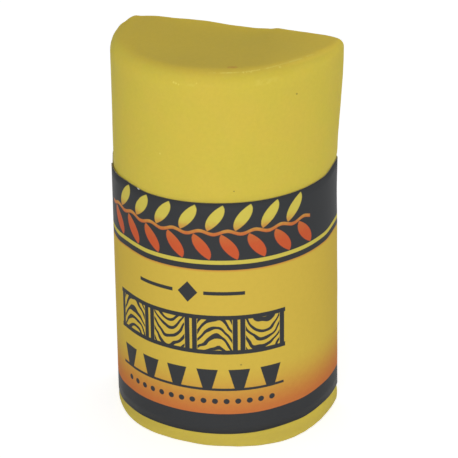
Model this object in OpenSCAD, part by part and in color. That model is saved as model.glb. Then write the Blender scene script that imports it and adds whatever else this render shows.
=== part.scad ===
// Furniture repair wax stick: a stick of soft filler wax with a round front and a flat back,
// and a printed label rolled round it that laps over its own end.
// The origin is on the axis of the round front, in the plane of the foot, and +Z is up.
// The flat back faces +Y and the middle of the round front faces -Y.

/* [Wax stick] */
// Diameter of the round front
wax_d = 25.4; // [18:0.1:40]
// Height of the stick
wax_h = 46; // [36:0.5:80]
// Distance from the axis of the round front to the flat back
back_y = 1.6; // [0.8:0.1:5]
// Radius of the upright left corner between the front and the back
left_r = 1.4; // [0.4:0.1:2]
// Radius of the upright right corner, which stayed sharper
right_r = 0.6; // [0.4:0.1:2]
// Radius of the left corner at the top, where it is worn
worn_r = 3.2; // [2:0.1:6]
// Radius of the rounded edge along the front of the top
rim_r = 1.9; // [0.5:0.1:2.4]
// Radius of the sharper edge along the back of the top
back_rim_r = 0.3; // [0.1:0.1:1]
// Radius of the edge round the foot
foot_r = 0.2; // [0.1:0.05:0.8]
// How far the bare top swells out to the right past the labelled part
swell = 0.6; // [0.1:0.05:1]

/* [Label] */
// Height of the label's bottom edge above the foot
label_z = 1.8; // [1:0.1:5]
// Height of the label
label_h = 28.9; // [15:0.1:38]
// Thickness of the label stock
label_t = 0.1; // [0.05:0.01:0.3]
// Length of the lap, where the label's outer end lies on its inner end
lap_w = 3.8; // [2:0.1:8]
// Angle from the middle of the front, round to the left, to the label's outer end
lap_angle = 74; // [60:1:84]
// Slope of the label's edges, which climb to the right
label_slope = 1.3; // [0:0.1:2]
// Bare wax between the label and the start of the swell
bare_h = 0.4; // [0.2:0.1:2]

/* [Print] */
// Thickness of the ink
ink_t = 0.03; // [0.02:0.01:0.08]
// Height of the dark header band
header_h = 6.9; // [3:0.1:9]
// Height of the pinstripe under the header
pinstripe_h = 0.55; // [0.3:0.05:1]
// Height of the dark divider line under the pinstripe
divider_h = 0.65; // [0.3:0.05:1]
// Height of the dark footer band
footer_h = 2.6; // [1:0.1:3]

/* [Hidden] */
$fn = 96;

wax_r = wax_d / 2;
reach = 2 * wax_d;
// Steps of the rounding round the top, and thickness of the slices that the top is blended from
rim_steps = 4;
slice = 0.01;

// Centre of a rounded corner of radius c, beside a front that is wider by w
function hub(c, w = 0) = [sqrt(pow(wax_r + w - c, 2) - pow(back_y - c - w, 2)), back_y - c];

// Heights along the label, measured up its own slope
label_top = label_z + label_h;
header_z = label_top - header_h;
pinstripe_z = header_z - pinstripe_h;
divider_z = pinstripe_z - divider_h;
panel_z = label_z + footer_h;
shoulder_z = label_top / cos(label_slope) + (wax_r + 2 * label_t) * tan(label_slope) + bare_h;

// A quarter of a disc, in the corner between +X and +Y
module quarter_disc(r) {
    intersection() {
        circle(r);
        square(r);
    }
}

// What rounding takes off one sharp corner of the section
module corner_waste(corner) {
    translate(hub(corner))
        polygon([[0, 0], reach * hub(corner) / norm(hub(corner)), [reach, reach], [0, reach]]);
}

// Section of the stick under the label, grown outwards by grow
module section(grow = 0) {
    difference() {
        intersection() {
            circle(wax_r + grow);
            translate([-reach, -reach]) square([2 * reach, reach + back_y + grow]);
        }
        corner_waste(right_r);
        mirror([1, 0]) corner_waste(left_r);
    }
    translate(hub(right_r)) circle(right_r + grow);
    mirror([1, 0]) translate(hub(left_r)) circle(left_r + grow);
}

// Half of the upright profile of the round front below the bare top
module front_profile() {
    square([wax_r - foot_r, foot_r]);
    translate([wax_r - foot_r, foot_r]) mirror([0, 1]) quarter_disc(foot_r);
    translate([0, foot_r]) square([wax_r, shoulder_z - foot_r]);
}

// Side view of the back with the same foot
module back_profile() {
    translate([-reach, 0]) square([reach + back_y - foot_r, foot_r]);
    translate([back_y - foot_r, foot_r]) mirror([0, 1]) quarter_disc(foot_r);
    translate([-reach, foot_r]) square([reach + back_y, shoulder_z - foot_r]);
}

// Half a slice of the bare top, wider than the labelled part and drawn in from the edge
module half_slice(corner, wider, inset) {
    linear_extrude(slice) {
        intersection() {
            translate([0, wider]) circle(wax_r + wider - inset);
            translate([0, -reach]) square([reach, reach + back_y - corner]);
        }
        translate(hub(corner, wider)) circle(max(corner - inset, slice));
    }
}

// A slice of the strip along the back of the top, from the worn left corner to the sharp right one
module back_slice(inset) {
    left = hub(worn_r)[0];
    right = hub(right_r, swell)[0];
    linear_extrude(slice) {
        translate([-left, 0]) square([left + right, back_y - inset]);
        translate(hub(right_r, swell)) circle(max(right_r - inset, slice));
    }
}

// The bare top: a sharp right side that swells outwards, a worn left corner and a rim that is
// rounded along the front
module bare_top() {
    $fn = 40;
    hull() {
        translate([0, 0, shoulder_z]) {
            half_slice(right_r, 0, slice);
            mirror([1, 0, 0]) half_slice(left_r, 0, slice);
        }
        for (step = [0:rim_steps]) {
            turn = 90 * step / rim_steps;
            translate([0, 0, wax_h - slice - rim_r * (1 - sin(turn))]) {
                half_slice(right_r, swell, rim_r * (1 - cos(turn)));
                mirror([1, 0, 0]) half_slice(worn_r, 0, rim_r * (1 - cos(turn)));
            }
            translate([0, 0, wax_h - slice - back_rim_r * (1 - sin(turn))])
                back_slice(back_rim_r * (1 - cos(turn)));
        }
    }
}

module wax_stick() {
    color([0.83, 0.75, 0.30]) {
        intersection() {
            rotate_extrude() front_profile();
            linear_extrude(shoulder_z) section();
            translate([-reach, 0, 0]) rotate([90, 0, 90]) linear_extrude(2 * reach) back_profile();
        }
        bare_top();
    }
}

// The wedge, seen from above, in which the label lies on its own end
module lap_wedge() {
    inner_angle = lap_angle - lap_w / wax_r * 180 / PI;
    polygon([[0, 0], for (angle = [inner_angle, lap_angle]) reach * [-sin(angle), -cos(angle)]]);
}

// The stick with the label on it as one full-height prism, grown outwards by over
module label_prism(over = 0) {
    linear_extrude(wax_h) section(label_t + over);
    intersection() {
        linear_extrude(wax_h) section(2 * label_t + over);
        linear_extrude(wax_h) lap_wedge();
    }
}

// Keeps what lies between two heights, measured up the label's slope
module between(low, high) {
    intersection() {
        children();
        rotate([0, -label_slope, 0]) translate([-reach, -reach, low])
            cube([2 * reach, 2 * reach, high - low]);
    }
}

module label_stock() {
    color([0.93, 0.92, 0.88]) difference() {
        between(label_z, label_top) label_prism();
        linear_extrude(wax_h) section();
    }
}

// A band of ink on the label's face
module ink_band(low, high) {
    difference() {
        between(low, high) label_prism(ink_t);
        label_prism();
    }
}

module yellow_ink() {
    color([0.83, 0.73, 0.30]) {
        ink_band(pinstripe_z, header_z);
        ink_band(panel_z, divider_z);
    }
}

module dark_ink() {
    color([0.16, 0.16, 0.17]) {
        ink_band(header_z, label_top);
        ink_band(divider_z, pinstripe_z);
        ink_band(label_z, panel_z);
    }
}

wax_stick();
label_stock();
yellow_ink();
dark_ink();
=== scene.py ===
"""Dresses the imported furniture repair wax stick: cast wax, rolled label, print and stage."""

import math

import bmesh
import bpy
from bpy.props import FloatProperty, FloatVectorProperty, PointerProperty
from mathutils import Matrix, Vector, noise


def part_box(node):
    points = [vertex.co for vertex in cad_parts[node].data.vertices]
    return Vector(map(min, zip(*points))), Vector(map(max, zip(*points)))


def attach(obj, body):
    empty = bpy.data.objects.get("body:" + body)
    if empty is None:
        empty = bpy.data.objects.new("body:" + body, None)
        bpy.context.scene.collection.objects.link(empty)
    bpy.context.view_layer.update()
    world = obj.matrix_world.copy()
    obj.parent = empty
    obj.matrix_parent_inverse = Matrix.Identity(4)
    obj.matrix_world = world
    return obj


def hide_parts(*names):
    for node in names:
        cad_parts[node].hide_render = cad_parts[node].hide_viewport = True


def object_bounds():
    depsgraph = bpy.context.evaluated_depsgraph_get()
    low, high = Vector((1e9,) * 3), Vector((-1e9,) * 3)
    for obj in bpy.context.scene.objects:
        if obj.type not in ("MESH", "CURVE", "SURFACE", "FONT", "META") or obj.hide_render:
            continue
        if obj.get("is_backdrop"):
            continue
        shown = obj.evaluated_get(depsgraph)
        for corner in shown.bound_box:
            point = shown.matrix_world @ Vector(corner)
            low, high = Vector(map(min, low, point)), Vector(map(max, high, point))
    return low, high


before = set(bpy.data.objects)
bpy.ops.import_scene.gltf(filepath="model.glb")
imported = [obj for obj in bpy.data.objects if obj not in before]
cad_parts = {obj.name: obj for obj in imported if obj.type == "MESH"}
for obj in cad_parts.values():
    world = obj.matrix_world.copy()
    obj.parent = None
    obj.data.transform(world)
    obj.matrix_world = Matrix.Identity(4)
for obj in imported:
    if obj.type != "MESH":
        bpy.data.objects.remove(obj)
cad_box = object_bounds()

bl_info = {
    "name": "Furniture Repair Wax Stick",
    "version": (1, 0, 0),
    "blender": (4, 5, 0),
    "location": "View3D > Sidebar > Wax Stick",
    "description": "Casts the wax, rolls and prints its label, and sets the studio round it",
    "category": "Object",
}

MM = 0.001
BODY = "root"

# What the CAD model says, in millimetres
WAX_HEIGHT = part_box("wax_stick")[1].z / MM
FLAT_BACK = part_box("wax_stick")[1].y / MM


# Sizes and colours that a user would change


def length(name, description, default, low, high):
    """A length of the stick, kept in metres"""
    return FloatProperty(
        name=name,
        description=description,
        default=default * MM,
        min=low * MM,
        max=high * MM,
        precision=5,
        subtype="DISTANCE",
        unit="LENGTH",
    )


def colour(name, description, default):
    """A colour in scene linear light"""
    return FloatVectorProperty(
        name=name,
        description=description,
        default=default,
        size=3,
        min=0,
        max=1,
        subtype="COLOR",
    )


def angle(name, description, default):
    """An angle, kept in radians"""
    return FloatProperty(
        name=name,
        description=description,
        default=math.radians(default),
        subtype="ANGLE",
        unit="ROTATION",
    )


class WaxSettings(bpy.types.PropertyGroup):
    """The cast stick of filler wax"""

    front: length("Front radius", "Radius of the round front under the label", 12.7, 9, 20)
    corner: length("Left corner radius", "Upright corner left of the flat back", 1.4, 0.4, 2)
    right_corner: length("Right corner radius", "Upright corner right of the flat back", 0.6, 0.3, 2)
    left_corner: length("Worn corner radius", "Left corner at the top, where it is worn", 3.2, 0.4, 6)
    shoulder: length("Shoulder height", "Height at which the bare top starts to swell", 31.4, 20, 40)
    foot_rim: length("Foot radius", "Edge round the foot", 0.2, 0.05, 0.8)
    ripple: length("Ripple", "Height of the soft lumps in the cast surface", 0.03, 0, 0.2)
    tone: colour("Wax", "Colour of the filler wax", (0.665, 0.541, 0.079))
    warm_tone: colour("Warm wax", "Colour of the warmer patches in the wax", (0.675, 0.529, 0.081))
    # Painted shade: the foot is coloured duller and darker towards the floor
    foot_shade: colour("Foot", "Duller colour of the foot, which rubs on the shelf", (0.60, 0.475, 0.086))
    skin: colour("Top skin", "Colour of the top, where the wax set in the open", (0.685, 0.512, 0.078))
    bruise: colour("Bruise", "Reddish brown mark on the top", (0.62, 0.32, 0.065))
    dirt: colour("Dirt", "Small dark specks pressed into the wax", (0.16, 0.11, 0.03))
    # Pale crumbs, and also the colour of the painted glints along the rim
    crumb_and_glint: colour("Crumb", "Pale crumbs and scuffs on the wax", (0.80, 0.70, 0.16))


class LabelSettings(bpy.types.PropertyGroup):
    """The label that is rolled round the stick"""

    foot: length("Height above the foot", "Bare wax under the label", 1.8, 1, 5)
    height: length("Label height", "Height of the label", 28.9, 15, 38)
    stock: length("Stock thickness", "Thickness of the white label stock", 0.1, 0.05, 0.3)
    ink: length("Ink thickness", "Thickness of the printed layer", 0.03, 0.01, 0.08)
    lap: length("Lap", "How much of the label lies on its own end", 3.8, 2, 8)
    lift: length("Lifted end", "How far the outer end has come away", 0.01, 0, 0.3)
    lap_angle: angle("Lap angle", "From the middle of the front to the label's outer end", 74)
    slope: angle("Slope", "Slope of the label's edges, which climb to the right", 1.3)
    paper: colour("Stock", "Colour of the label stock", (0.85, 0.84, 0.80))
    # The cut edge is coloured darker than the stock, unevenly
    cut_edge: colour("Cut edge", "Cut edge of the stock, stained by the wax", (0.34, 0.30, 0.18))


class PrintSettings(bpy.types.PropertyGroup):
    """The print on the label"""

    footer: length("Footer", "Height of the dark footer band", 2.6, 1, 4)
    header: length("Header", "Height of the dark header band", 6.9, 3, 9)
    pinstripe: length("Pinstripe", "Height of the yellow line under the header", 0.55, 0.3, 1)
    divider: length("Divider", "Height of the dark line under the pinstripe", 0.65, 0.3, 1)
    glow: length("Glow", "Height over which the panel turns from orange to yellow", 6.3, 2, 12)
    charcoal: colour("Charcoal", "Dark ink", (0.045, 0.047, 0.0495))
    yellow: colour("Yellow", "Yellow ink of the panel", (0.665, 0.475, 0.072))
    bright_yellow: colour("Bright yellow", "Yellow ink of the pinstripe", (0.65, 0.545, 0.094))
    orange: colour("Orange", "Orange at the foot of the panel", (0.58, 0.165, 0.05))
    red: colour("Red", "Red of the leaves under the vine", (0.60, 0.11, 0.04))


class StageSettings(bpy.types.PropertyGroup):
    """Camera, floor and light"""

    heading: angle("Heading", "Turn of the camera round the stick", 16.965)
    tilt: angle("Tilt", "How far the camera looks down", 26.383)
    roll: angle("Roll", "Turn of the camera about its own view", -0.558)
    place: FloatVectorProperty(
        name="Camera place",
        description="Where the camera stands",
        default=(0.07500, -0.24501, 0.14840),
        size=3,
        subtype="TRANSLATION",
        unit="LENGTH",
    )
    focal: FloatProperty(
        name="Focal length",
        description="Focal length of the lens in millimetres",
        default=196.62,
        min=20,
        max=400,
        subtype="DISTANCE_CAMERA",
    )
    floor: colour("Floor", "Pale floor", (0.80, 0.80, 0.80))


# Shader nodes


class Number:
    """A number in a shader. Python's operators on it add Math nodes."""

    def __init__(self, finish, socket):
        self.finish = finish
        self.socket = socket

    def math(self, operation, *values):
        """A Math node on numbers and sockets"""
        return self.finish.number("ShaderNodeMath", {"operation": operation}, dict(enumerate(values)))

    def __add__(self, other):
        return self.math("ADD", self, other)

    def __radd__(self, other):
        return self.math("ADD", other, self)

    def __sub__(self, other):
        return self.math("SUBTRACT", self, other)

    def __rsub__(self, other):
        return self.math("SUBTRACT", other, self)

    def __mul__(self, other):
        return self.math("MULTIPLY", self, other)

    def __truediv__(self, other):
        return self.math("DIVIDE", self, other)

    def __mod__(self, other):
        return self.math("FLOORED_MODULO", self, other)

    def __abs__(self):
        return self.math("ABSOLUTE", self)

    def floor(self):
        return self.math("FLOOR", self)

    def sine(self):
        return self.math("SINE", self)

    def root(self):
        return self.math("SQRT", self)

    def least(self, other):
        return self.math("MINIMUM", self, other)

    def most(self, other):
        return self.math("MAXIMUM", self, other)

    def rise(self, low, high):
        """0 below low, 1 above high, and an even S between them"""
        settings = {"interpolation_type": "SMOOTHSTEP", "clamp": True}
        return self.finish.number(
            "ShaderNodeMapRange", settings, {"Value": self, "From Min": low, "From Max": high}
        )


class Finish:
    """One procedural material under construction"""

    def __init__(self, name):
        self.material = bpy.data.materials.new(name)
        self.material.use_nodes = True
        self.tree = self.material.node_tree
        self.tree.nodes.clear()

    def node(self, kind, settings=None, sockets=None):
        """A node of one type: its settings first, then values or links for its sockets"""
        made = self.tree.nodes.new(kind)
        for name, value in (settings or {}).items():
            setattr(made, name, value)
        for name, value in (sockets or {}).items():
            if isinstance(value, Number):
                value = value.socket
            if isinstance(value, bpy.types.NodeSocket):
                self.tree.links.new(value, made.inputs[name])
            else:
                made.inputs[name].default_value = value
        return made

    def number(self, kind, settings=None, sockets=None, output=0):
        """One output of a new node, ready for arithmetic"""
        return Number(self, self.node(kind, settings, sockets).outputs[output])

    def blend(self, factor, low, high):
        """The colour low where factor is 0 and high where it is 1"""
        sockets = {0: factor, 6: rgba(low), 7: rgba(high)}
        return self.node("ShaderNodeMix", {"data_type": "RGBA"}, sockets).outputs[2]

    def scaled(self, factor, vector):
        """A colour or a place, times a factor"""
        sockets = {0: vector, "Scale": factor}
        return self.node("ShaderNodeVectorMath", {"operation": "SCALE"}, sockets).outputs[0]

    def distance(self, place, spot):
        """How far a place lies from one spot"""
        sockets = {0: place, 1: spot}
        return self.number("ShaderNodeVectorMath", {"operation": "DISTANCE"}, sockets, "Value")

    def cloud(self, place, scale, detail, roughness):
        """Soft noise from 0 to 1, with scale in patches per unit of place"""
        sockets = {"Vector": place, "Scale": scale, "Detail": detail, "Roughness": roughness}
        return self.number("ShaderNodeTexNoise", {"noise_dimensions": "3D"}, sockets)

    def object_place(self):
        """Object coordinates in millimetres"""
        return self.scaled(1 / MM, self.node("ShaderNodeTexCoord").outputs["Object"])

    def parts(self, place):
        """The three numbers of a vector"""
        made = self.node("ShaderNodeSeparateXYZ", sockets={0: place})
        return [Number(self, socket) for socket in made.outputs]

    def bump(self, height, distance, strength):
        """Fine relief, with height from 0 to 1 standing for distance in metres"""
        sockets = {"Height": height, "Distance": distance, "Strength": strength}
        return self.node("ShaderNodeBump", sockets=sockets).outputs[0]

    def done(self, **sockets):
        """Joins the shader to the surface and returns the material"""
        named = {name.replace("_", " "): value for name, value in sockets.items()}
        shader = self.node("ShaderNodeBsdfPrincipled", sockets=named)
        self.node("ShaderNodeOutputMaterial", sockets={0: shader.outputs[0]})
        return self.material


def rgba(tone):
    """A colour with its alpha, or a socket as it is"""
    return tone if isinstance(tone, bpy.types.NodeSocket) else (*tone[:3], 1.0)


# Shapes, in millimetres until the mesh is scaled


def smooth(low, high, value):
    """0 below low, 1 above high, and an even S between them"""
    share = min(max((value - low) / (high - low), 0), 1)
    return share * share * (3 - 2 * share)


def follow(table, place):
    """The value at a place, from pairs of place and value that even S curves join"""
    for (start, low), (end, high) in zip(table, table[1:]):
        if place <= end:
            return low + (high - low) * smooth(start, end, place)
    return table[-1][1]


def lumps(place, patch, seed):
    """Soft lumps from about -1 to 1, with patches of one size"""
    return noise.noise(place / patch + Vector((seed, seed, seed)))


class Section:
    """The outline of the stick from above, followed by the length along it.

    It starts at the middle of the round front and goes round by the right corner, the flat back
    and the left corner.
    """

    def __init__(self, radius, back, right, left):
        self.radius = radius
        self.back = back
        self.right = right
        self.left = left
        self.right_hub, self.right_turn = self.hub(right)
        self.left_hub, self.left_turn = self.hub(left)
        quarter = math.pi / 2
        self.lengths = [
            radius * (quarter + self.right_turn),
            right * (quarter - self.right_turn),
            self.right_hub.x + self.left_hub.x,
            left * (quarter - self.left_turn),
            radius * (quarter + self.left_turn),
        ]
        self.whole = sum(self.lengths)

    def hub(self, corner):
        """Centre of a corner and the angle at which the front meets it"""
        height = self.back - corner
        across = math.sqrt((self.radius - corner) ** 2 - height**2)
        return Vector((across, height)), math.atan2(height, across)

    def at(self, along):
        """Point and outward direction at a length along the outline"""
        along %= self.whole
        part = 0
        while part < 4 and along > self.lengths[part]:
            along -= self.lengths[part]
            part += 1
        if part == 2:
            return Vector((self.right_hub.x - along, self.back)), Vector((0, 1))
        hub, radius, start = [
            (Vector((0, 0)), self.radius, -math.pi / 2),
            (self.right_hub, self.right, self.right_turn),
            None,
            (Vector((-self.left_hub.x, self.left_hub.y)), self.left, math.pi / 2),
            (Vector((0, 0)), self.radius, math.pi - self.left_turn),
        ][part]
        turn = start + along / radius
        outward = Vector((math.cos(turn), math.sin(turn)))
        return hub + radius * outward, outward


def finish_mesh(bm, name, materials, replaced):
    """Turns a mesh in millimetres into a piece of the stick"""
    bmesh.ops.scale(bm, vec=(MM, MM, MM), verts=bm.verts)
    for face in bm.faces:
        face.smooth = True
    mesh = bpy.data.meshes.new(name)
    bm.to_mesh(mesh)
    bm.free()
    for material in materials:
        mesh.materials.append(material)
    piece = bpy.data.objects.new(name, mesh)
    bpy.context.scene.collection.objects.link(piece)
    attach(piece, BODY)
    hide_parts(*replaced)
    return piece


# The cast wax

# Vertices round the stick, and rings of them in each part of its profile
AROUND = 400
FOOT_RINGS = 8
HEEL_RINGS = 5
LOWER_RINGS = 24
UPPER_RINGS = 46
RIM_RINGS = 14
TOP_RINGS = 16
# How far below the shoulder the upper rings begin
UPPER_DROP = 1.2
# The rings of the foot and of the top close in on this point
MIDDLE = Vector((0, -5.0))
# Lengths round the stick run from the middle of the front, and this much of its left side is below 0
LEFT_SIDE = 20

# Radius of the rim, by the length round the stick
RIM = [
    (-20, 1.8), (-18.6, 2.25), (-16.5, 2.3), (-13, 2.1), (-8, 1.9), (11, 1.9), (16, 1.5),
    (19.5, 0.87), (21.5, 0.87), (23.5, 0.6), (26, 0.15), (44, 0.15), (45.2, 0.4), (47.6, 1.8),
]
# Growth of the radius at the top, by the same length, and how far below the top it is complete
SWELL = [(-12, 0), (3, 0), (12, 0.19), (18, 0.46), (21, 0.60), (23, 0.59), (40, 0)]
SWELL_DROP = 1.5
# Growth of the radius on the right, by height: a waist under the label's top edge, and a fuller foot
WAIST = [
    (0, 0.25), (1.5, 0.31), (2.4, 0.18), (5, 0.14), (14, 0.05), (22, -0.06), (28, -0.16),
    (31.3, -0.12), (32.5, 0), (36, 0.02),
]
# Where the waist is felt, by the length round the stick
WAIST_REACH = [(8, 0), (17, 1), (25, 1), (28, 0)]
# Flare of the foot below the label, by the length round the stick, and the heights where it ends
FLARE = [
    (-20, 0.05), (-16.2, 0.21), (-13.1, 0.165), (-9.5, 0.235), (-7.8, 0.22), (-6, 0.13),
    (-3.5, -0.05), (-1.2, -0.12), (1.5, 0), (3.5, 0.01), (5.3, 0.2), (7.5, 0.39), (9.7, 0.5),
    (11.2, 0.44), (12.7, 0.3), (14.2, 0.11), (15.7, -0.04), (17.2, -0.1), (18.7, -0.11),
    (20.2, -0.09), (21.5, 0), (50, 0),
]
FLARE_END = (0.2, 1.1)
# Extra radius of the foot's edge, which is worn on the right
FOOT_WEAR = [(10, 0), (13, 0.14), (15.5, 0.23), (18, 0.39), (20.5, 0.39), (22, 0.24), (24, 0), (50, 0)]

# Depth of the top's back edge below its highest point, by the distance to the right, and where it
# fades in from the front to the back
BACK_EDGE = [
    (-12.6, 0.1), (-11.9, 0), (-10.8, 0), (-9.9, 0.13), (-8.2, 0.02), (-7.2, 0.03), (-6.4, 0.05),
    (-4.5, 0), (-3, 0), (1, 0.21), (3, 0.25), (4.7, 0.16), (5.7, 0), (7, 0.07), (8.3, 0.12),
    (10.5, 0.06), (13, 0.15),
]
BACK_EDGE_FADE = (-5, 1)
# Depth of the top's front edge in the same way, and where it fades out
FRONT_EDGE = [
    (-13, 0.1), (-11.5, 0.15), (-9.5, 0.38), (-7, 0.42), (-4, 0.38), (0, 0.25), (4, 0.2),
    (8, 0.1), (10.5, 0),
]
FRONT_EDGE_FADE = (-9, 1)
# How far the top's right end tips down to the front, and where this fades in to the right and forwards
TIP = 0.12
TIP_ACROSS = (5, 10.5)
TIP_FORWARD = (1.6, -3.5)
# How much the top's right corner is worn, and between which depths below the top
TOP_CORNER = 0.3
TOP_CORNER_DEPTHS = (1.2, 0.3)
# The top is dished: how deep it sinks, how far in it is at its deepest, and how far the lip along its
# back edge reaches
DISH = 0.24
DISH_REACH = 8
LIP_REACH = 2.9
# Height of the lumps in the dish, the height over which the lumps of the sides begin, and how much of
# their own height all lumps are sunk by, so that they stay inside the plain shape
TOP_RIPPLE = 0.03
RIPPLE_START = 2
LUMP_SINK = 0.6
# Height in the noise at which the lumps of the dish are read
DISH_NOISE = 7


def wax_stations():
    """What each ring of the wax is: a part of the profile and how far along that part it lies"""
    rings = [("foot", step / FOOT_RINGS) for step in range(FOOT_RINGS)]
    rings += [("heel", step / HEEL_RINGS) for step in range(HEEL_RINGS + 1)]
    rings += [("lower", (step / LOWER_RINGS) ** 2) for step in range(1, LOWER_RINGS + 1)]
    rings += [("upper", step / UPPER_RINGS) for step in range(1, UPPER_RINGS + 1)]
    rings += [("rim", step / RIM_RINGS) for step in range(1, RIM_RINGS + 1)]
    rings += [("top", 1 - step / TOP_RINGS) for step in range(1, TOP_RINGS + 1)]
    return rings


def growth(along, height):
    """How far the stick is wider or narrower than its plain section, under the label too"""
    return follow(WAIST, height) * follow(WAIST_REACH, along)


def sideways(outward):
    """Direction in which the stick grows: outwards, but never out of the flat back"""
    return Vector((outward.x, min(outward.y, 0)))


def top_section(wax, rise, height):
    """The outline at one height of the stick, where rise is how much of the worn top it shows"""
    worn = wax.corner + (wax.left_corner - wax.corner) * rise
    deep, shallow = TOP_CORNER_DEPTHS
    rounder = TOP_CORNER * smooth(WAX_HEIGHT - deep, WAX_HEIGHT - shallow, height)
    return Section(wax.front / MM, FLAT_BACK, wax.right_corner / MM + rounder, worn / MM)


def top_drop(edge):
    """How far the edge of the top lies below its highest point"""
    drop = smooth(*BACK_EDGE_FADE, edge.y) * follow(BACK_EDGE, edge.x)
    drop += follow(FRONT_EDGE, edge.x) * (1 - smooth(*FRONT_EDGE_FADE, edge.y))
    return drop + TIP * smooth(*TIP_ACROSS, edge.x) * smooth(*TIP_FORWARD, edge.y)


def dish_drop(edge, step, inner):
    """How far the dished top lies below its own edge"""
    ripple = LUMP_SINK + lumps(Vector((*edge, DISH_NOISE)), patch=6, seed=11)
    lip = max(1 - (FLAT_BACK - edge.y) / LIP_REACH, 0) ** 2
    dish = DISH * (1 - lip) * smooth(0, DISH_REACH, inner - edge.length)
    return dish + TOP_RIPPLE * (1 - step) ** 0.5 * ripple


def wax_point(share, station, wax):
    """Where a vertex of the wax lies, from its share of the way round and its ring"""
    part, step = station
    shoulder = wax.shoulder / MM
    radius = wax.front / MM
    plain = Section(radius, FLAT_BACK, wax.right_corner / MM, wax.corner / MM)
    along = share * plain.whole
    if along > plain.whole - LEFT_SIDE:
        along -= plain.whole
    foot = wax.foot_rim / MM + follow(FOOT_WEAR, along)
    rim = follow(RIM, along)
    low = shoulder - UPPER_DROP
    quarter = step * math.pi / 2
    height = {
        "foot": 0,
        "heel": foot * (1 - math.cos(quarter)),
        "lower": foot + (low - foot) * step,
        "upper": low + (WAX_HEIGHT - rim - low) * step,
        "rim": WAX_HEIGHT - rim * (1 - math.sin(quarter)),
        "top": WAX_HEIGHT,
    }[part]
    inset = {
        "foot": foot,
        "heel": foot * (1 - math.sin(quarter)),
        "rim": rim * (1 - math.cos(quarter)),
        "top": rim,
    }.get(part, 0)
    rise = smooth(shoulder, WAX_HEIGHT - SWELL_DROP, height)
    section = top_section(wax, rise, height)
    spot, outward = section.at(share * section.whole)
    bare = smooth(shoulder, shoulder + RIPPLE_START, height)
    grown = follow(SWELL, along) * rise + growth(along, height)
    grown += follow(FLARE, along) * (1 - smooth(*FLARE_END, height))
    grown += bare * wax.ripple / MM * (lumps(Vector((*spot, height)), patch=5, seed=3) - LUMP_SINK)
    edge = spot + sideways(outward) * grown - outward * inset
    if part in ("foot", "top"):
        edge = MIDDLE + (edge - MIDDLE) * step
    height -= top_drop(edge) * {"upper": step, "rim": 1, "top": 1}.get(part, 0)
    if part == "top":
        height -= dish_drop(edge, step, radius - follow(RIM, 0))
    return Vector((*edge, height))


# Heights over which the painted shade of the foot, a duller and darker colour, ends
FOOT_SHADE_END = (0.8, 2.6)
# Heights over which the skin of the top begins, and how much higher it does so on the right
SKIN_START = (45.0, 45.7)
SKIN_RISE = 0.25
# Heights over which the right of the rim and the top is painted paler, as painted light, and by how much
PAINTED_LIGHT_START = (45.45, 45.7)
PAINTED_LIGHT = 0.09
# The painted glints along the creases fade in between these distances from the axis, and rise by so much
# to the right
GLINT_RADII = (11, 11.576)
GLINT_RISE = 0.26
# Painted glints along creases in the rim: height, half width, where they start and end to the right, and
# strength
RIM_GLINTS = (
    (45.55, 0.05, (1.4, 2.6, 10.0, 12.8), 0.75),
    (44.35, 0.2, (-2.4, -1.6, 0.4, 1.0), 0.2),
    (44.45, 0.4, (6.4, 7.2, 8.2, 9.0), 0.3),
)
# Spots in the wax: where each lies, its radius and its kind. The pale spots at the rim, 44.2 to 45.7
# high, are painted glints; the lower pale one is a crumb
SPOTS = (
    ((10.35, -7.70, 42.48), 0.16, "dirt"),
    ((4.50, -11.90, 32.10), 0.10, "dirt"),
    ((-3.75, -12.13, 35.68), 0.17, "crumb_and_glint"),
    ((5.26, -10.58, 45.54), 0.15, "crumb_and_glint"),
    ((5.56, -10.46, 45.55), 0.10, "crumb_and_glint"),
    ((5.98, -10.23, 45.56), 0.14, "crumb_and_glint"),
    ((8.61, -8.22, 45.66), 0.20, "crumb_and_glint"),
    ((-1.95, -12.43, 44.38), 0.12, "crumb_and_glint"),
    ((-1.65, -12.50, 44.31), 0.13, "crumb_and_glint"),
    ((-1.35, -12.55, 44.23), 0.12, "crumb_and_glint"),
    ((0.63, -12.51, 44.58), 0.12, "crumb_and_glint"),
    ((3.58, -10.16, 45.77), 0.38, "bruise"),
    ((3.86, -10.07, 45.77), 0.34, "bruise"),
    ((4.14, -9.98, 45.77), 0.38, "bruise"),
)


def rim_glints(finish, place, patches):
    """Strength of each painted glint along the creases in the front of the rim"""
    east, north, up = finish.parts(place)
    streaks = finish.cloud(place, scale=1.1, detail=3.0, roughness=0.6).rise(0.38, 0.58)
    inside, outside = GLINT_RADII
    front = (1 - north.rise(-2.5, -1.0)) * (east * east + north * north).rise(inside**2, outside**2)
    wander = (patches - 0.5) * 0.12 - east.rise(3.5, 11.5) * GLINT_RISE
    fainter = 1 - east.rise(6.5, 9.0) * 0.45
    for height, half, (start, full, fade, end), strength in RIM_GLINTS:
        glint = 1 - abs(up - height + wander).rise(half * 0.4, half)
        glint = glint * east.rise(start, full) * (1 - east.rise(fade, end)) * front
        yield glint * fainter * streaks * strength


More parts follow.
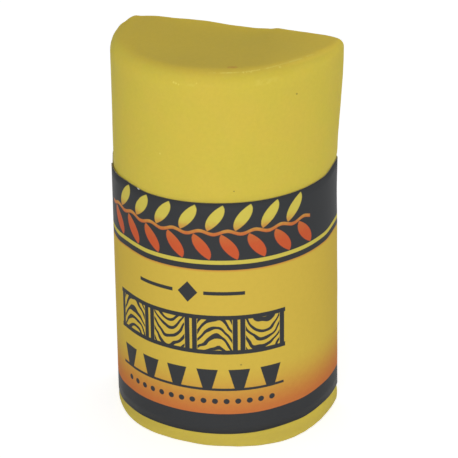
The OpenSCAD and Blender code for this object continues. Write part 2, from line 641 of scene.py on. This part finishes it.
def wax_finish(wax):
    """Soft satin wax: cloudy colour, a few specks, painted glints, shade and light, and a fine cast
    grain
    """
    finish = Finish("wax")
    place = finish.object_place()
    patches = finish.cloud(place, scale=0.22, detail=3.0, roughness=0.55)
    grain = finish.cloud(place, scale=2.4, detail=4.0, roughness=0.6)
    dust = finish.cloud(place, scale=9.0, detail=2.0, roughness=0.5)
    east, _, up = finish.parts(place)
    tone = finish.blend(patches.rise(0.35, 0.65), wax.tone, wax.warm_tone)
    # Painted shade, darker and duller towards the foot
    tone = finish.blend(1 - up.rise(*FOOT_SHADE_END), tone, wax.foot_shade)
    tone = finish.blend((up - east.rise(0, 9) * SKIN_RISE).rise(*SKIN_START), tone, wax.skin)
    # Painted light: the right end of the top is painted paler
    painted_light = up.rise(*PAINTED_LIGHT_START) * east.rise(6, 11) * PAINTED_LIGHT
    tone = finish.scaled(0.90 + grain * 0.10 + patches * 0.05 + dust * 0.05 + painted_light, tone)
    # Painted glints along the creases of the rim
    for mark in rim_glints(finish, place, patches):
        tone = finish.blend(mark, tone, wax.crumb_and_glint)
    for spot, radius, kind in SPOTS:
        away = finish.distance(place, spot) + grain * 0.2 - 0.1
        tone = finish.blend((1 - away.rise(radius * 0.4, radius)) * 0.6, tone, getattr(wax, kind))
    return finish.done(
        Base_Color=tone,
        Roughness=0.44 + grain * 0.12,
        Normal=finish.bump(grain * 0.6 + dust * 0.4, distance=0.03 * MM, strength=0.5),
        Specular_IOR_Level=0.01,
        Subsurface_Weight=0.45,
        Subsurface_Radius=(1.0, 0.95, 0.35),
        Subsurface_Scale=1.6 * MM,
    )


class FILLER_STICK_OT_cast_wax(bpy.types.Operator):
    """Casts the wax stick: round front, flat back, worn rim and a top that swells to the right"""

    bl_idname = "filler_stick.cast_wax"
    bl_label = "Cast the wax"

    def execute(self, context):
        wax = context.scene.stick_wax
        stations = wax_stations()
        bm = bmesh.new()
        bmesh.ops.create_grid(bm, x_segments=AROUND, y_segments=len(stations) - 1, size=0.5)
        for vert in bm.verts:
            ring = round((vert.co.y + 0.5) * (len(stations) - 1))
            vert.co = wax_point(vert.co.x + 0.5, stations[ring], wax)
        bmesh.ops.remove_doubles(bm, verts=bm.verts, dist=0.0005)
        bmesh.ops.recalc_face_normals(bm, faces=bm.faces)
        finish_mesh(bm, "wax_casting", [wax_finish(wax)], ["wax_stick"])
        return {"FINISHED"}


# The label

# Faces of the label round the stick and up it
LABEL_AROUND = 480
LABEL_ROWS = 26
# How far the stock lies off the wax, and how far its edges stay inside the print
GLUE = 0.01
STOCK_INSET = 0.01
# Lengths past the inner end over which the label comes down to the wax beside its lap
LAP_RAMP = (0.1, 3.4)
# How much of the outer end lifts
LIFT_REACH = 1.6

# Drift of the label's lower and upper edge off a straight roll, by the length round the stick
LOW_DRIFT = [
    (-17, -0.3), (-12.6, -0.2), (-9.6, -0.12), (-4, 0), (6.7, -0.17), (12, 0), (17, 0.38),
    (19.5, 0.46), (40, 0.46),
]
HIGH_DRIFT = [
    (-16.4, -0.75), (-15.6, -0.42), (-14.5, -0.28), (-13.2, -0.12), (-11.5, -0.06), (-10.3, 0.03),
    (-9.3, 0.08), (-8.2, 0.05), (-5.6, -0.1), (3, -0.05), (8, -0.07), (13, -0.06), (16.5, -0.04),
    (19.8, 0.42), (40, 0.3), (50.6, 0.3), (51.9, -0.6), (55, -0.6),
]


class Roll:
    """How the flat label is rolled round the stick"""

    def __init__(self, wax, label):
        self.section = Section(wax.front / MM, FLAT_BACK, wax.right_corner / MM, wax.corner / MM)
        self.label = label
        self.start = -label.lap_angle * self.section.radius
        self.under = self.start + label.lap / MM
        self.end = self.section.whole + self.under
        self.length = self.end - self.start

    def point(self, along, up, off):
        """Where a spot of the label lies, off the wax by so much"""
        label = self.label
        climb = label.stock / MM * (1 - smooth(*LAP_RAMP, along - self.under))
        climb += label.lift / MM * (1 - smooth(0, LIFT_REACH, along - self.start))
        spot, outward = self.section.at(along)
        height = (label.foot / MM + up + spot.x * math.sin(label.slope)) / math.cos(label.slope)
        share = up * MM / label.height
        height += follow(LOW_DRIFT, along) * (1 - share) + follow(HIGH_DRIFT, along) * share
        if along > self.section.whole / 2:
            along -= self.section.whole
        grown = growth(along, height)
        spot = spot + outward * (climb + off) + sideways(outward) * grown
        return Vector((*spot, height))


def rolled_sheet(roll, off, shape):
    """A grid rolled round the stick, with its flat place kept as a UV map from 0 to 1"""
    bm = bmesh.new()
    bmesh.ops.create_grid(bm, x_segments=LABEL_AROUND, y_segments=LABEL_ROWS, size=0.5)
    flat = bm.loops.layers.uv.new("flat_label")
    for face in bm.faces:
        for loop in face.loops:
            loop[flat].uv = (loop.vert.co.x + 0.5, loop.vert.co.y + 0.5)
    for vert in bm.verts:
        along = roll.start + (vert.co.x + 0.5) * roll.length
        up = shape(along, vert.co.y + 0.5)
        vert.co = roll.point(along, up, off)
    bmesh.ops.recalc_face_normals(bm, faces=bm.faces)
    return bm


def thicken(piece, thickness, rim_material):
    """Gives a rolled sheet its thickness, outwards from the wax"""
    solid = piece.modifiers.new("Thickness", "SOLIDIFY")
    solid.thickness = thickness
    solid.offset = 1
    solid.use_even_offset = True
    solid.material_offset_rim = rim_material


def face_outwards(bm):
    """Turns the faces of an open sheet away from the middle of the stick"""
    bm.normal_update()
    face = min(bm.faces, key=lambda f: f.calc_center_median().y)
    if face.normal.y > 0:
        bmesh.ops.reverse_faces(bm, faces=bm.faces)


def paper_finish(label):
    """White label stock with a faint fibre"""
    finish = Finish("label_stock")
    fibre = finish.cloud(finish.object_place(), scale=3.0, detail=4.0, roughness=0.6)
    tone = finish.scaled(0.95 + fibre * 0.08, label.paper)
    return finish.done(
        Base_Color=tone,
        Roughness=0.62 + fibre * 0.1,
        Normal=finish.bump(fibre, distance=0.01 * MM, strength=0.4),
    )


def cut_edge_finish(label):
    """Cut edge of the stock, coloured darker and unevenly"""
    finish = Finish("label_cut_edge")
    stain = finish.cloud(finish.object_place(), scale=1.3, detail=3.0, roughness=0.6)
    tone = finish.blend(stain.rise(0.62, 0.78), label.cut_edge, label.paper)
    return finish.done(
        Base_Color=tone,
        Roughness=0.66 + stain * 0.1,
        Normal=finish.bump(stain, distance=0.01 * MM, strength=0.4),
    )


class FILLER_STICK_OT_roll_label(bpy.types.Operator):
    """Rolls the strip of white label stock round the stick, up to where it laps over its own end"""

    bl_idname = "filler_stick.roll_label"
    bl_label = "Roll the label"

    def execute(self, context):
        scene = context.scene
        label = scene.stick_label
        roll = Roll(scene.stick_wax, label)
        height = label.height / MM

        def shape(along, share):
            return share * (height - 2 * STOCK_INSET) + STOCK_INSET

        bm = rolled_sheet(roll, GLUE, shape)
        face_outwards(bm)
        materials = [paper_finish(label), cut_edge_finish(label)]
        piece = finish_mesh(bm, "label_sheet", materials, ["label_stock"])
        thicken(piece, label.stock - GLUE * MM, 1)
        return {"FINISHED"}


# The print, in millimetres along the label from the middle of the front, and up it

# How far the edge of an ink fades, and how far the dark ink spreads over the pinstripe
INK_EDGE = 0.03
INK_SPREAD = 0.03
# How far past the label's edges its outer bands run
PAST_EDGE = 1
# How far the panel's glow reaches down into the footer, and the depths under the divider over which
# the brown fringe fades in
GLOW_DEPTH = 0.8
FRINGE_DEPTHS = (0.32, 0.02)

# The vine in the header: its middle above the header's lower edge and to the right, how far it reaches
# to either side, its pitch, and the half thickness and the swing of its stem
VINE_UP = 3.35
VINE_RIGHT = 0.3
VINE_REACH = 13.7
VINE_PITCH = 3.05
STEM_HALF = 0.2
STEM_SWING = 0.2
# Its leaves: how far off the stem they stand, how they lean, their half height and half width, and
# how far inside the vine's ends they stop
LEAF_OFF = 1.75
LEAF_LEAN = 0.55
LEAF_HALVES = (1.55, 0.78)
LEAF_MARGIN = 0.7

# The panel's rule: its height, its middle, where each stroke lies beside that and half its length,
# its half thickness, and the half width and squatness of the diamond in its gap
RULE_UP = 17.9
RULE_RIGHT = -0.7
STROKE_OFF = 4.1
STROKE_HALF = 2.3
STROKE_THICK = 0.22
DIAMOND_HALF = 1.15
DIAMOND_SQUAT = 0.9

# The rows of joinery and their common middle
ROW_RIGHT = -0.4
# Boards: their height, left end, pitch and number to either side of the middle
BOARDS_UP = 12.7
BOARDS_LEFT = -11.2
BOARD_PITCH = 5.4
BOARDS_ASIDE = 2
# Their half height, the middle of their top and bottom lines, the middle of their side lines inside
# the pitch, and the half thickness of all of these
BOARD_HALF = 2.45
RAIL_OFF = 2.2
STILE_INSET = 0.42
RAIL_THICK = 0.28
# Their grain: its pitch, half thickness, bend, waver, first line, and how far it stays off the pitch
GRAIN_PITCH = 1.15
GRAIN_THICK = 0.24
GRAIN_BEND = 0.42
GRAIN_WAVER = 1.6
GRAIN_START = 0.9
GRAIN_INSET = 0.75
# Dovetails: their height, pitch, half width, half height and flare, the height and half thickness
# of the line under them, and the half length of the row
TAILS_UP = 7.0
TAIL_PITCH = 3.6
TAIL_WIDE = 0.85
TAIL_HALF = 1.3
TAIL_FLARE = 0.28
TAIL_LINE_UP = 5.75
TAIL_LINE_THICK = 0.16
TAILS_REACH = 10.6
# Dots: their height, their row's middle and half length, their pitch, radius and first place
DOTS_UP = 4.25
DOTS_RIGHT = -0.35
DOTS_REACH = 9.75
DOT_PITCH = 1.3
DOT_RADIUS = 0.34
DOT_START = 1.0

# The strip of bare stock beside the lap, whose pale colour is also painted sheen there, and a speck on
# the panel
BARE_SHEEN_STRIP = 0.35
SPECK = (5.2, 8.9, 0)


def band(line, low, high):
    """1 between two heights of the label, with soft edges"""
    return line.rise(low - INK_EDGE, low + INK_EDGE) - line.rise(high - INK_EDGE, high + INK_EDGE)


def leaf_edge(across, up, half_height, half_width):
    """Distance to the edge of a leaf that stands on its tip"""
    bow = (half_height**2 + half_width**2) / (2 * half_width)
    reach = abs(across) + (bow - half_width)
    return (reach * reach + up * up).root() - bow


def vine_edge(x, off):
    """Distance to the edge of a vine with slanted leaves above and below its stem"""
    stem = abs(off - (x * math.tau / VINE_PITCH).sine() * STEM_SWING) - STEM_HALF
    vine = stem.most(abs(x - VINE_RIGHT) - VINE_REACH)
    for side, shift in ((1, 0), (-1, VINE_PITCH / 2)):
        rise = off * side
        lean = (x - rise * LEAF_LEAN + shift) / VINE_PITCH
        cell = (lean % 1 - 0.5) * VINE_PITCH
        leaf = leaf_edge(cell, rise - LEAF_OFF, *LEAF_HALVES)
        centre = (lean.floor() + 0.5) * VINE_PITCH - shift
        vine = vine.least(leaf.most(abs(centre - VINE_RIGHT) - VINE_REACH + LEAF_MARGIN))
    return vine


def rule_edge(x, y):
    """Distance to the edge of a rule with a diamond in its gap"""
    across = abs(x - RULE_RIGHT)
    off = abs(y - RULE_UP)
    strokes = (off - STROKE_THICK).most(abs(across - STROKE_OFF) - STROKE_HALF)
    return strokes.least(across + off * DIAMOND_SQUAT - DIAMOND_HALF)


def boards_edge(x, y, waver):
    """Distance to the edge of a row of boards, with grain that arches up and down by turns"""
    board = (x - BOARDS_LEFT) / BOARD_PITCH
    cell = (board % 1 - 0.5) * BOARD_PITCH
    off = y - BOARDS_UP
    turned = 1 - board.floor() % 2 * 2
    arch = off * turned + cell * cell * GRAIN_BEND + (waver - 0.5) * GRAIN_WAVER + GRAIN_START
    grain = abs(arch % GRAIN_PITCH - GRAIN_PITCH / 2) - GRAIN_THICK
    grain = grain.most(abs(cell) - BOARD_PITCH / 2 + GRAIN_INSET)
    stiles = abs(abs(cell) - BOARD_PITCH / 2 + STILE_INSET) - RAIL_THICK
    rails = abs(abs(off) - RAIL_OFF) - RAIL_THICK
    boards = grain.least(stiles.least(rails)).most(abs(off) - BOARD_HALF)
    return boards.most(abs(x - ROW_RIGHT) - BOARD_PITCH * BOARDS_ASIDE)


def dovetails_edge(x, y):
    """Distance to the edge of a row of dovetails on a line"""
    cell = (x - BOARDS_LEFT) % TAIL_PITCH - TAIL_PITCH / 2
    off = y - TAILS_UP
    tails = (abs(cell) - TAIL_WIDE - off * TAIL_FLARE).most(abs(off) - TAIL_HALF)
    tails = tails.least(abs(y - TAIL_LINE_UP) - TAIL_LINE_THICK)
    return tails.most(abs(x - ROW_RIGHT) - TAILS_REACH)


def dots_edge(x, y):
    """Distance to the edge of a row of dots"""
    cell = (x + DOT_START) % DOT_PITCH - DOT_PITCH / 2
    off = y - DOTS_UP
    dots = (cell * cell + off * off).root() - DOT_RADIUS
    return dots.most(abs(x - DOTS_RIGHT) - DOTS_REACH)


def print_finish(roll, label, ink):
    """The print, laid out in millimetres along the label and up it"""
    finish = Finish("label_print")
    flat = finish.node("ShaderNodeUVMap", {"uv_map": "flat_label"}).outputs[0]
    across, up, _ = finish.parts(flat)
    height = label.height / MM
    x = across * roll.length + roll.start
    y = up * height
    place = finish.node("ShaderNodeCombineXYZ", sockets={0: x, 1: y}).outputs[0]
    mottle = finish.cloud(place, scale=1.6, detail=3.0, roughness=0.6)
    grain = finish.cloud(place, scale=6.0, detail=2.0, roughness=0.6)
    wobble = (grain - 0.5) * 0.05

    footer = ink.footer / MM
    header = height - ink.header / MM
    pinstripe = header - ink.pinstripe / MM
    divider = pinstripe - ink.divider / MM

    # Panel: orange glow at its foot, a brown fringe under the divider
    glow = 1 - (y + (mottle - 0.5) * 0.6).rise(footer - GLOW_DEPTH, footer + ink.glow / MM)
    panel = finish.blend(glow, ink.yellow, ink.orange)
    deep, shallow = FRINGE_DEPTHS
    fringe = (y + wobble).rise(divider - deep, divider - shallow) * 0.55
    panel = finish.blend(fringe, panel, ink.orange)

    # Bands. The dark ink spreads a little over the pinstripe.
    line = y + wobble * 0.5
    dark = band(line, header - INK_SPREAD, height + PAST_EDGE)
    dark = dark.most(band(line, divider, pinstripe + INK_SPREAD))
    dark = dark.most(band(line, -PAST_EDGE, footer))
    panel = finish.blend(band(line, pinstripe, header), panel, ink.bright_yellow)
    tone = finish.blend(dark, panel, ink.charcoal)

    # The vine turns from yellow through orange to red, downwards
    off = y - (header + VINE_UP)
    vine = 1 - (vine_edge(x, off) + wobble).rise(-0.05, 0.05)
    fade = off * 0.22 + mottle * 0.2 + 0.4
    flame = finish.blend(fade.rise(0.05, 0.55), ink.red, ink.orange)
    flame = finish.blend(fade.rise(0.4, 0.85), flame, ink.bright_yellow)
    tone = finish.blend(vine, tone, flame)

    # Ornaments of the panel
    waver = finish.cloud(place, scale=0.5, detail=1.0, roughness=0.4)
    marks = rule_edge(x, y).least(boards_edge(x, y, waver))
    marks = marks.least(dovetails_edge(x, y)).least(dots_edge(x, y))
    marks = 1 - (marks + wobble).rise(-0.04, 0.04)
    tone = finish.blend(marks, tone, ink.charcoal)

    # The inner end is left unprinted, so bare stock shows beside the lap, as a painted sheen too
    bare = roll.end - label.lap / MM - BARE_SHEEN_STRIP
    tone = finish.blend(x.rise(bare - INK_EDGE, bare + INK_EDGE), tone, label.paper)
    speck = 1 - finish.distance(place, SPECK).rise(0.05, 0.16)
    tone = finish.blend(speck * 0.5, tone, ink.charcoal)

    # The dark ink lies thicker, so it is smoother
    return finish.done(
        Base_Color=finish.scaled(0.94 + mottle * 0.08 + grain * 0.04, tone),
        Roughness=0.55 + mottle * 0.10 - dark.most(marks) * 0.15,
        Normal=finish.bump(mottle * 0.5 + grain * 0.5, distance=0.01 * MM, strength=0.5),
        Specular_IOR_Level=0.03,
    )


# The chip in the print's top edge: its place, depth and half width, and how fast it ends downwards
CHIP_PLACE = -7.1
CHIP_DEPTH = 0.11
CHIP_HALVES = (0.1, 0.27)
CHIP_FADE = 20


class FILLER_STICK_OT_print_label(bpy.types.Operator):
    """Lays the film of print on the label, with a chip in its top edge"""

    bl_idname = "filler_stick.print_label"
    bl_label = "Print the label"

    def execute(self, context):
        scene = context.scene
        label = scene.stick_label
        roll = Roll(scene.stick_wax, label)
        height = label.height / MM

        def shape(along, share):
            chip = CHIP_DEPTH * (1 - smooth(*CHIP_HALVES, abs(along - CHIP_PLACE)))
            return share * height - chip * share**CHIP_FADE

        bm = rolled_sheet(roll, label.stock / MM, shape)
        face_outwards(bm)
        material = print_finish(roll, label, scene.stick_print)
        piece = finish_mesh(bm, "label_print", [material], ["yellow_ink", "dark_ink"])
        thicken(piece, label.ink, 0)
        return {"FINISHED"}


# The stage

FLOOR_RADIUS = 3
# How far the floor lies under the foot, and the glow that keeps its colour pale in a picture
FLOOR_DROP = 0.00001
FLOOR_GLOW = 0.60
# Softboxes: bearing from the middle of the front, height angle, distance, size and level
SOFTBOXES = (
    ("front_softbox", 14, 12, 0.9, 0.5, 0.575),
    ("right_softbox", 128, 8, 0.9, 0.5, 0.16),
)
SKY_LEVEL = 0.465


def seen_directly(finish):
    """1 for the rays that show a background: from the camera, off gloss or through glass"""
    path = finish.node("ShaderNodeLightPath")
    kinds = ("Is Camera Ray", "Is Glossy Ray", "Is Transmission Ray")
    camera, gloss, glass = [Number(finish, path.outputs[kind]) for kind in kinds]
    return camera.most(gloss).most(glass)


def floor_finish(stage):
    """Pale matte floor that keeps the stick's shadow"""
    finish = Finish("studio_floor")
    cloud = finish.cloud(finish.object_place(), scale=0.05, detail=2.0, roughness=0.5)
    tone = finish.scaled(0.99 + cloud * 0.02, stage.floor)
    matte = finish.node("ShaderNodeBsdfDiffuse", sockets={"Color": tone})
    glow = finish.node("ShaderNodeEmission", sockets={"Strength": seen_directly(finish) * FLOOR_GLOW})
    both = finish.node("ShaderNodeAddShader", sockets={0: matte.outputs[0], 1: glow.outputs[0]})
    finish.node("ShaderNodeOutputMaterial", sockets={0: both.outputs[0]})
    return finish.material


class Sky(Finish):
    """The world's nodes, built the same way as a material's"""

    def __init__(self, world):
        self.tree = world.node_tree
        self.tree.nodes.clear()


def lay_floor(scene, stage):
    """The round floor just under the foot"""
    bm = bmesh.new()
    bmesh.ops.create_circle(bm, cap_ends=True, segments=64, radius=FLOOR_RADIUS)
    bmesh.ops.translate(bm, vec=(0, 0, -FLOOR_DROP), verts=bm.verts)
    mesh = bpy.data.meshes.new("floor")
    bm.to_mesh(mesh)
    bm.free()
    mesh.materials.append(floor_finish(stage))
    floor = bpy.data.objects.new("floor", mesh)
    scene.collection.objects.link(floor)
    floor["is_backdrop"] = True


def light_sky(scene):
    """A white sky that lights the stick less than it shows"""
    world = bpy.data.worlds.new("studio")
    world.use_nodes = True
    scene.world = world
    sky = Sky(world)
    seen = seen_directly(sky)
    strength = seen + (1 - seen) * SKY_LEVEL
    light = sky.node("ShaderNodeBackground", sockets={"Color": (1, 1, 1, 1), "Strength": strength})
    sky.node("ShaderNodeOutputWorld", sockets={0: light.outputs[0]})


def hang_softboxes(scene):
    """Large soft lamps that face the middle of the stick"""
    aim = Vector((0, 0, WAX_HEIGHT * MM / 2))
    for name, bearing, rise, distance, size, level in SOFTBOXES:
        turn = math.radians(bearing)
        lift = math.radians(rise)
        flat = math.cos(lift)
        toward = Vector((math.sin(turn) * flat, -math.cos(turn) * flat, math.sin(lift)))
        lamp = bpy.data.lights.new(name, "AREA")
        lamp.size = size
        lamp.energy = level * math.pi**2 * distance**2
        softbox = bpy.data.objects.new(name, lamp)
        softbox.location = aim + toward * distance
        softbox.rotation_euler = toward.to_track_quat("Z", "Y").to_euler()
        scene.collection.objects.link(softbox)


def place_camera(scene, stage):
    """The camera, turned by its heading, tilt and roll"""
    lens = bpy.data.cameras.new("camera")
    lens.sensor_width = 36
    lens.lens = stage.focal
    lens.clip_start = 0.01
    camera = bpy.data.objects.new("camera", lens)
    tilt = Matrix.Rotation(math.pi / 2 - stage.tilt, 4, "X")
    turns = Matrix.Rotation(stage.heading, 4, "Z") @ tilt
    roll = Matrix.Rotation(stage.roll, 4, "Z")
    camera.matrix_world = Matrix.Translation(stage.place) @ turns @ roll
    scene.collection.objects.link(camera)
    scene.camera = camera


class FILLER_STICK_OT_set_stage(bpy.types.Operator):
    """Sets up the pale floor, the soft light and the camera"""

    bl_idname = "filler_stick.set_stage"
    bl_label = "Set the stage"

    def execute(self, context):
        scene = context.scene
        lay_floor(scene, scene.stick_stage)
        light_sky(scene)
        hang_softboxes(scene)
        place_camera(scene, scene.stick_stage)
        scene.view_settings.view_transform = "Standard"
        return {"FINISHED"}


class FILLER_STICK_PT_pieces(bpy.types.Panel):
    """Lists the pieces of the stick and their settings"""

    bl_label = "Wax Stick"
    bl_idname = "FILLER_STICK_PT_pieces"
    bl_space_type = "VIEW_3D"
    bl_region_type = "UI"
    bl_category = "Wax Stick"

    def draw(self, context):
        for operator, group in PIECES:
            column = self.layout.column()
            column.operator(operator.bl_idname)
            settings = getattr(context.scene, group)
            for name in settings.bl_rna.properties.keys():
                if name not in ("rna_type", "name"):
                    column.prop(settings, name)


GROUPS = {
    "stick_wax": WaxSettings,
    "stick_label": LabelSettings,
    "stick_print": PrintSettings,
    "stick_stage": StageSettings,
}
PIECES = (
    (FILLER_STICK_OT_cast_wax, "stick_wax"),
    (FILLER_STICK_OT_roll_label, "stick_label"),
    (FILLER_STICK_OT_print_label, "stick_print"),
    (FILLER_STICK_OT_set_stage, "stick_stage"),
)


def register():
    """Makes the settings, operators and panel known to Blender"""
    for name, group in GROUPS.items():
        bpy.utils.register_class(group)
        setattr(bpy.types.Scene, name, PointerProperty(type=group))
    for operator, _ in PIECES:
        bpy.utils.register_class(operator)
    bpy.utils.register_class(FILLER_STICK_PT_pieces)


def unregister():
    """Takes them out again"""
    bpy.utils.unregister_class(FILLER_STICK_PT_pieces)
    for operator, _ in PIECES:
        bpy.utils.unregister_class(operator)
    for name, group in GROUPS.items():
        delattr(bpy.types.Scene, name)
        bpy.utils.unregister_class(group)


def main():
    """Makes every piece in order"""
    register()
    bpy.ops.filler_stick.cast_wax()
    bpy.ops.filler_stick.roll_label()
    bpy.ops.filler_stick.print_label()
    bpy.ops.filler_stick.set_stage()
    boxes = {"cad": cad_box, "visual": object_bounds()}
    plain = {name: [[float(value) for value in corner] for corner in box] for name, box in boxes.items()}


if __name__ == "__main__":
    main()
